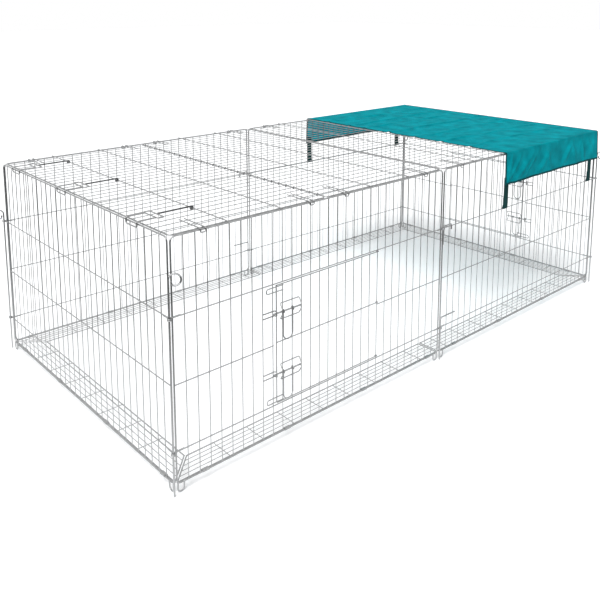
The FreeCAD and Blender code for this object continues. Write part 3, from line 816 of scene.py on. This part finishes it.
def make_end_hook(name, gap):
    """Makes a hook that turns on a cross wire and drops over the end panel."""
    hook = Wirework()
    y = -roof_half_depth + gap * roof_bar_pitch
    pivot_x = -half_length + cross_pitch
    left = -half_length + hook_loop_start
    right = left + hook_loop_width
    edge = -half_length - frame_radius - hook_edge_gap - hook_wire_radius
    low = top_z - hook_drop
    front, back = y - hook_loop_half, y + hook_loop_half
    hook.bent([[(right, front, hook_z), (right, back, hook_z), (left, back, hook_z), (left, front, hook_z)]],
              hook_wire_radius, hook_bend, closed=True)
    front, back = y - hook_fork_half, y + hook_fork_half
    hook.bent([[(left, front, hook_z), (edge, front, hook_z), (edge, front, low),
                (edge, back, low), (edge, back, hook_z), (left, back, hook_z)]],
              hook_wire_radius, hook_bend)
    # The arm takes the darker zinc all round, as painted shade.
    hook.curl([curl_points((right, y, hook_z), (pivot_x, y, hook_z), (pivot_x, y, cross_z), eye_sweep)],
              hook_arm_radius, painted_shade=lambda face: True)
    hook.welds((left, front, hook_z), (0, 2 * hook_fork_half, 0), 2, fork_weld)
    hook.welds((right, y, hook_z), (0, 0, 0), 1, arm_weld)
    hook.piece("end_hook_" + name)


def make_roof():
    """Makes the roof sheets, their clips and hooks."""
    half = roof_joint / 2
    flap_cross = [-half_length + cross_pitch * row for row in (1, 2)]
    fixed_cross = [-half_length + cross_pitch * row for row in (4, 5)]
    make_roof_flap(-half_length + roof_inset, flap_cross)
    make_roof_sheet("roof_fixed_half", hinge_x, -half, fixed_cross)
    far_cross = [cross_pitch * row for row in range(1, 6)]
    make_roof_sheet("roof_far", half, half_length - roof_inset, far_cross)
    from_ends = [half_length - place for place in clip_places]
    make_roof_clips("roof_flap_clips", [-x for x in from_ends])
    make_roof_clips("roof_fixed_clips", [-x for x in clip_places])
    make_roof_clips("roof_far_clips", list(clip_places) + from_ends)
    for name, gap in hook_gaps.items():
        make_end_hook(name, gap)


# Digging barrier strips

def make_strip(side):
    """Makes one barrier strip, mitred where it meets a corner."""
    _, _, _, left_is_corner, right_is_corner = sides[side]
    row_pitch = strip_width / strip_rows

    def ends(row):
        inset = row * row_pitch + strip_edge_gap
        left = strip_end_gap + (inset if left_is_corner else 0)
        right = panel_pitch - strip_end_gap - (inset if right_is_corner else 0)
        return left, right

    wires = Wirework(strip_zinc)
    drop = strip_wire_radius + bar_radius - weld_depth
    for row in range(strip_rows + 1):
        left, right = ends(row)
        radius = strip_wire_radius if 0 < row < strip_rows else strip_frame_radius
        wires.row((left, row * row_pitch, 0), (right - left, 0, 0), radius, bow=0.0006)
    outer_left, outer_right = ends(0)
    inner_left, inner_right = ends(strip_rows)
    for outer, inner in ((outer_left, inner_left), (outer_right, inner_right)):
        wires.row((outer, 0, 0), (inner - outer, strip_width, 0), strip_frame_radius, bow=0.0003)
        wires.welds((outer, 0, 0), (inner - outer, strip_width, 0), 2, strip_end_weld)
    count = int((panel_pitch - strip_cross_start) / strip_cross_pitch) + 1
    for u in [strip_cross_start + strip_cross_pitch * index for index in range(count)]:
        if inner_left < u < inner_right:
            wires.row((u, 0, -drop), (0, strip_width, 0), bar_radius, bow=0.0003)
            wires.welds((u, 0, -drop / 2), (0, row_pitch, 0), strip_rows + 1, strip_weld)
    lay = Matrix.Translation((0, strip_edge_gap, base_z))
    wires.piece("strip_" + side, on_side(side) @ lay)


# Sunshade

drop_length = shade_z - shade_bend - hem_z
bend_length = shade_bend * math.pi / 2
top_length = 2 * (shade_y - shade_bend)
shade_length = 2 * (drop_length + bend_length) + top_length
shade_width = shade_end - shade_start
grid_step = 0.006
edge_margin = 0.001
held_places = [clip_places[1], half_length - clip_places[1], half_length - clip_places[0]]
packed_folds = [-0.40, -0.27, -0.12, 0.04, 0.17, 0.30, 0.42]
packed_rise = 0.0060
packed_width = 0.009
packed_wander = 0.030
billow_depth = 0.0022
billow_count = 3.5
ripple_depth = 0.0012
hem_lift = 0.0025
least_sink = 0.0006
mean_slack = 0.0018
slack_change = 0.0010

# Each crease of a drop: where it starts and ends, along the cut and down from the bend, its width and rise
creases = [
    ((0.012, 0.118), (0.105, 0.020), 0.010, 0.0078),
    ((0.020, 0.100), (0.050, 0.000), 0.008, 0.0052),
    ((0.060, 0.118), (0.210, 0.015), 0.013, 0.0086),
    ((0.135, 0.110), (0.245, 0.010), 0.011, 0.0058),
    ((0.240, 0.118), (0.330, 0.030), 0.014, 0.0068),
    ((0.340, 0.118), (0.300, 0.015), 0.012, 0.0054),
    ((0.430, 0.118), (0.520, 0.018), 0.013, 0.0070),
    ((0.560, 0.118), (0.520, 0.025), 0.014, 0.0054),
    ((0.640, 0.118), (0.600, 0.018), 0.011, 0.0062),
    ((0.745, 0.112), (0.655, 0.020), 0.010, 0.0072),
    ((0.738, 0.096), (0.712, 0.000), 0.008, 0.0046),
]


def crease_height(along, down):
    """Gives how far the drop stands out where the straps pull creases into it."""
    height = 0.0
    for (start_x, start_d), (end_x, end_d), width, rise in creases:
        run_x, run_d = end_x - start_x, end_d - start_d
        share = ((along - start_x) * run_x + (down - start_d) * run_d) / (run_x ** 2 + run_d ** 2)
        nearest = min(1.0, max(0.0, share))
        off = math.hypot(along - start_x - nearest * run_x, down - start_d - nearest * run_d)
        height += rise * math.exp(-(off / width) ** 2) * math.sin(math.pi * (0.12 + 0.76 * nearest))
    return height


def drop_fold(along, down, facing):
    """Gives how far a drop stands out from its straight fall."""
    shifted = along if facing < 0 else shade_width - along
    share = down / drop_length
    billow = billow_depth * (1 - math.cos(math.tau * shifted / (shade_width / billow_count))) * share
    ripple = ripple_depth * (1 + noise.noise((shifted * 24, down * 16, 3.0 + facing)))
    return billow + crease_height(shifted, down) + ripple * min(1.0, 3 * share)


def top_sag(x, y):
    """Gives how far the top sinks between cross wires, less its rise at clips and folds."""
    between = math.sin(math.pi * x / cross_pitch) ** 2
    edge = half_depth - abs(y)
    beside = min(abs(x - place) for place in held_places)
    clear = min(1.0, max(0.0, (edge - 0.104) / 0.040, (beside - 0.014) / 0.030))
    rim = min(1.0, edge / 0.030) * min(1.0, (shade_end - x) / 0.03)
    packed = 0.0
    for fold in packed_folds:
        bent = fold + packed_wander * noise.noise((x * 3, fold * 9, 1.0))
        firm = max(0.0, 0.6 + noise.noise((x * 5, fold * 7, 2.0)))
        packed += math.exp(-((y - bent) / packed_width) ** 2) * firm
    slack = mean_slack + slack_change * noise.noise((x * 7, y * 26, 5.0))
    sink = clear * (least_sink + slack * between)
    return rim * (sink - packed_rise * packed)


def shade_point(along, across):
    """Gives a point of the cloth, from its place on the flat cut."""
    x = shade_start + along
    facing = -1 if across < shade_length / 2 else 1
    walked = across if facing < 0 else shade_length - across
    if walked < drop_length:
        down = drop_length - walked
        out = drop_fold(along, down, facing)
        lift = hem_lift * math.sin(math.pi * along / shade_width) ** 2 * (down / drop_length)
        return Vector((x, facing * (shade_y + out), hem_z + walked + lift))
    if walked < drop_length + bend_length:
        turn = (walked - drop_length) / shade_bend
        return Vector((x, facing * (shade_y - shade_bend * (1 - math.cos(turn))),
                       shade_z - shade_bend * (1 - math.sin(turn))))
    y = facing * (shade_y - shade_bend - (walked - drop_length - bend_length))
    return Vector((x, y, shade_z - top_sag(x, y)))


def shade_normal(along, across):
    """Gives the outward direction of the cloth at a place on its flat cut."""
    step = 0.0005
    over = shade_point(along + step, across) - shade_point(along - step, across)
    up = shade_point(along, min(shade_length, across + step)) - shade_point(along, max(0, across - step))
    return over.cross(up).normalized()


def cloth_grid(rows, columns, point, cloth_map):
    """Makes a grid of faces with its own cloth map."""
    shape = bmesh.new()
    layer = shape.loops.layers.uv.new("cloth_map")
    corners = [[shape.verts.new(point(row, column)) for column in columns] for row in rows]
    for i in range(len(rows) - 1):
        for j in range(len(columns) - 1):
            spots = [(i, j), (i + 1, j), (i + 1, j + 1), (i, j + 1)]
            face = shape.faces.new([corners[a][b] for a, b in spots])
            face.smooth = True
            for loop, (a, b) in zip(face.loops, spots):
                loop[layer].uv = cloth_map(rows[a], columns[b])
    return shape


def spread(start, end, step):
    """Gives even places from start to end, about a step apart."""
    count = max(2, math.ceil((end - start) / step))
    return [start + (end - start) * i / count for i in range(count + 1)]


def across_places(drop_step, bend_step, top_step):
    """Gives places across the whole cut, the same on both drops."""
    top_start = drop_length + bend_length
    half = spread(0, drop_length, drop_step) + spread(drop_length, top_start, bend_step)[1:]
    half += spread(top_start, shade_length / 2, top_step)[1:]
    return half + [shade_length - place for place in reversed(half[:-1])]


def make_shade_cloth():
    """Makes the cloth itself, a thin sheet with two faces."""
    across = across_places(0.0045, 0.0014, 0.005)
    along = spread(0, shade_width, grid_step)
    half_thick = shade_thickness / 2
    shape, inner = [cloth_grid(along, across, lambda a, b: on_cloth((a, b), lift), lambda a, b: (a, b))
                    for lift in (half_thick, -half_thick)]
    bmesh.ops.reverse_faces(inner, faces=inner.faces)
    spare = bpy.data.meshes.new("inner_face")
    inner.to_mesh(spare)
    inner.free()
    shape.from_mesh(spare)
    bpy.data.meshes.remove(spare)
    rims = [edge for edge in shape.edges if edge.is_boundary]
    bmesh.ops.bridge_loops(shape, edges=rims)
    bmesh.ops.recalc_face_normals(shape, faces=shape.faces)
    return stand_for("sunshade", shape, [shade_cloth])


def edge_lines():
    """Gives each edge of the cut: places along it, and the spot at a depth from it."""
    along = spread(0, shade_width, grid_step)
    across = across_places(0.005, 0.002, 0.010)
    return {
        "front_hem": (along, lambda t, depth: (t, depth)),
        "back_hem": (along, lambda t, depth: (t, shade_length - depth)),
        "near_edge": (across, lambda t, depth: (depth, t)),
        "far_edge": (across, lambda t, depth: (shade_width - depth, t)),
    }


def on_cloth(spot, lift):
    """Gives a point above or below a place on the flat cut."""
    along, across = spot
    inside = min(max(along, edge_margin), shade_width - edge_margin)
    return shade_point(along, across) + shade_normal(inside, across) * lift


def close_ends(shape):
    """Joins the seam of a band and fills its two ends."""
    bmesh.ops.remove_doubles(shape, verts=shape.verts, dist=1e-6)
    rims = [edge for edge in shape.edges if edge.is_boundary]
    bmesh.ops.holes_fill(shape, edges=rims, sides=0)


def make_tape(name, places, spot):
    """Makes the binding tape folded round one edge of the cloth."""
    out = shade_thickness / 2 + 0.0007
    section = [(tape_width, out - 0.0003), (tape_width * 0.97, out), (tape_width / 2, out + 0.0001),
               (0.0010, out), (-0.0004, out * 0.6), (-0.0007, 0), (-0.0004, -out * 0.6), (0.0010, -out),
               (tape_width / 2, -out), (tape_width * 0.97, -out), (tape_width, -out + 0.0003)]
    steps = list(range(len(section) + 1))

    def point(t, step):
        depth, lift = section[step % len(section)]
        edge = on_cloth(spot(t, max(depth, 0)), lift)
        if depth < 0:
            edge += (on_cloth(spot(t, 0), lift) - on_cloth(spot(t, 0.002), lift)).normalized() * -depth
        return edge

    shape = cloth_grid(places, steps, point, lambda t, step: (t, step * 0.0035))
    close_ends(shape)
    bmesh.ops.recalc_face_normals(shape, faces=shape.faces)
    return stand_for("sunshade", shape, [tape_cloth], "shade_tape_" + name)


def make_stitches(name, places, spot):
    """Makes the row of stitches that holds the tape of one edge."""
    out = shade_thickness / 2 + 0.0008
    line = [on_cloth(spot(t, tape_width - 0.0025), out) for t in places]
    mesh = grow(stitch_row, {"Pitch": 0.0042, "Size": (0.00035, 0.00022, 0.0014)},
                line_mesh([line], False))
    shape = bmesh.new()
    shape.from_mesh(mesh)
    return stand_for("sunshade", shape, [thread_cloth], "shade_stitches_" + name)


def ribbon_outline(centre, thickness):
    """Gives a closed outline on both sides of a line across a band."""
    left, right = [], []
    for i, spot in enumerate(centre):
        before, after = centre[max(0, i - 1)], centre[min(len(centre) - 1, i + 1)]
        run = (after - before).normalized()
        side = Vector((-run.y, run.x)) * thickness / 2
        left.append(spot + side)
        right.append(spot - side)
    return left + right[::-1]


def make_strap(node, u, side):
    """Makes a strap of webbing from the hem down, round the top rail and back up."""
    rail = rail_z[2]
    turn_radius = rail_radius + turning_gap + strap_thickness / 2
    top = hem_z + strap_lap
    line = [Vector((strap_fall, z)) for z in spread(rail + 0.016, top, 0.006)[::-1]]
    for step in range(25):
        turn = math.radians(25 - 250 * step / 24)
        line.append(Vector((rail_offset + turn_radius * math.cos(turn), rail + turn_radius * math.sin(turn))))
    line += [Vector((strap_fall - 0.0016, z)) for z in spread(rail + 0.018, rail + 0.046, 0.006)]
    outline = ribbon_outline(line, strap_thickness)
    columns = spread(u - strap_width / 2, u + strap_width / 2, 0.004)
    steps = list(range(len(outline) + 1))

    def point(column, step):
        w, z = outline[step % len(outline)]
        return Vector((column, -w, z))

    shape = cloth_grid(columns, steps, point, lambda column, step: (column, outline[step % len(outline)][1]))
    close_ends(shape)
    bmesh.ops.triangulate(shape, faces=[face for face in shape.faces if len(face.verts) > 4])
    bmesh.ops.recalc_face_normals(shape, faces=shape.faces)
    bmesh.ops.transform(shape, matrix=on_side(side), verts=shape.verts)
    return stand_for(node, shape, [strap_cloth])


def make_sunshade():
    """Makes the sunshade with its tape, stitches and straps."""
    cloth = make_shade_cloth()
    for name, (places, spot) in edge_lines().items():
        make_tape(name, places, spot)
        make_stitches(name, places, spot)
    for name, gap in zip(("near", "far"), strap_gaps):
        make_strap("strap_front_" + name, bar_u(gap), "front_far")
        make_strap("strap_back_" + name, bar_u(bar_gaps - gap), "back_far")


# Floor, light and camera

def seen_ray(tree):
    """Gives 1 for rays that show the background, and 0 for those that light the run."""
    rays = add_node(tree, "ShaderNodeLightPath").outputs
    mirrored = add_maths(tree, "MAXIMUM", rays["Is Glossy Ray"], rays["Is Transmission Ray"])
    return add_maths(tree, "MAXIMUM", rays["Is Camera Ray"], mirrored)


def floor_paint():
    """Makes a pale floor that shows white and keeps a faint shadow."""
    material, tree, shader = start_material("floor_paint")
    tree.nodes.remove(shader)
    pale = add_node(tree, "ShaderNodeBsdfDiffuse", {"Color": grey(0.86)})
    dim = add_node(tree, "ShaderNodeBsdfDiffuse", {"Color": grey(0.80)})
    glow = add_node(tree, "ShaderNodeEmission", {"Color": grey(1), "Strength": 0.30})
    shown = add_node(tree, "ShaderNodeAddShader", {0: dim.outputs[0], 1: glow.outputs[0]})
    either = add_node(tree, "ShaderNodeMixShader", {
        0: seen_ray(tree), 1: pale.outputs[0], 2: shown.outputs[0]})
    tree.links.new(either.outputs[0], tree.nodes["Material Output"].inputs["Surface"])
    return material


def make_stage():
    """Makes the white floor and the white surroundings."""
    floor_mesh = bpy.data.meshes.new("floor")
    reach = 30.0
    corners = [(-reach, -reach, 0), (reach, -reach, 0), (reach, reach, 0), (-reach, reach, 0)]
    floor_mesh.from_pydata(corners, [], [(0, 1, 2, 3)])
    floor = place_object("floor", floor_mesh)
    floor_mesh.materials.append(floor_paint())
    world = bpy.data.worlds.new("studio")
    bpy.context.scene.world = world
    world.use_nodes = True
    tree = world.node_tree
    strength = add_node(tree, "ShaderNodeMapRange", {"Value": seen_ray(tree), "To Min": 0.28, "To Max": 1.0})
    tree.links.new(strength.outputs["Result"], tree.nodes["Background"].inputs["Strength"])
    tree.nodes["Background"].inputs["Color"].default_value = (1, 1, 1, 1)


def add_lamp(name, place, spread_degrees, strength, mirrored=True):
    """Adds a soft light from a place towards the run, which may show in the metal."""
    lamp = bpy.data.lights.new(name, "SUN")
    lamp.angle = math.radians(spread_degrees)
    lamp.energy = strength
    made = place_object(name, lamp)
    made.location = place
    made.rotation_euler = (-Vector(place)).to_track_quat("-Z", "Y").to_euler()
    made.visible_glossy = mirrored


def add_camera():
    """Adds the camera at the photograph's viewing angle."""
    camera = bpy.data.cameras.new("camera")
    camera.sensor_width = 36.0
    camera.lens = 43.87
    camera.shift_y = -0.30
    made = place_object("camera", camera)
    made.location = (-2.100, -2.145, 1.326)
    made.rotation_euler = (math.radians(90 - 9.207), 0, math.radians(48.168 - 90))
    bpy.context.scene.camera = made


make_panels()
for door_side, door_name in door_sides.items():
    make_door(door_side, door_name)
    make_latches(door_side, door_name)
make_rods()
make_roof()
for strip_side in sides:
    make_strip(strip_side)
make_sunshade()
for node_name, cad_piece in frame["nodes"].items():
    if node_name.startswith("strip_clips"):
        cad_piece.data.materials.clear()
        cad_piece.data.materials.append(zinc)

make_stage()
add_lamp("top_lamp", (-1.4, -0.8, 3.2), 30, 1.9)
add_lamp("front_lamp", (-3.8, -1.4, 1.6), 25, 1.6)
add_lamp("back_lamp", (1.0, 4.0, 1.0), 40, 3.0, mirrored=False)
add_camera()
bpy.context.scene.view_settings.view_transform = "Standard"
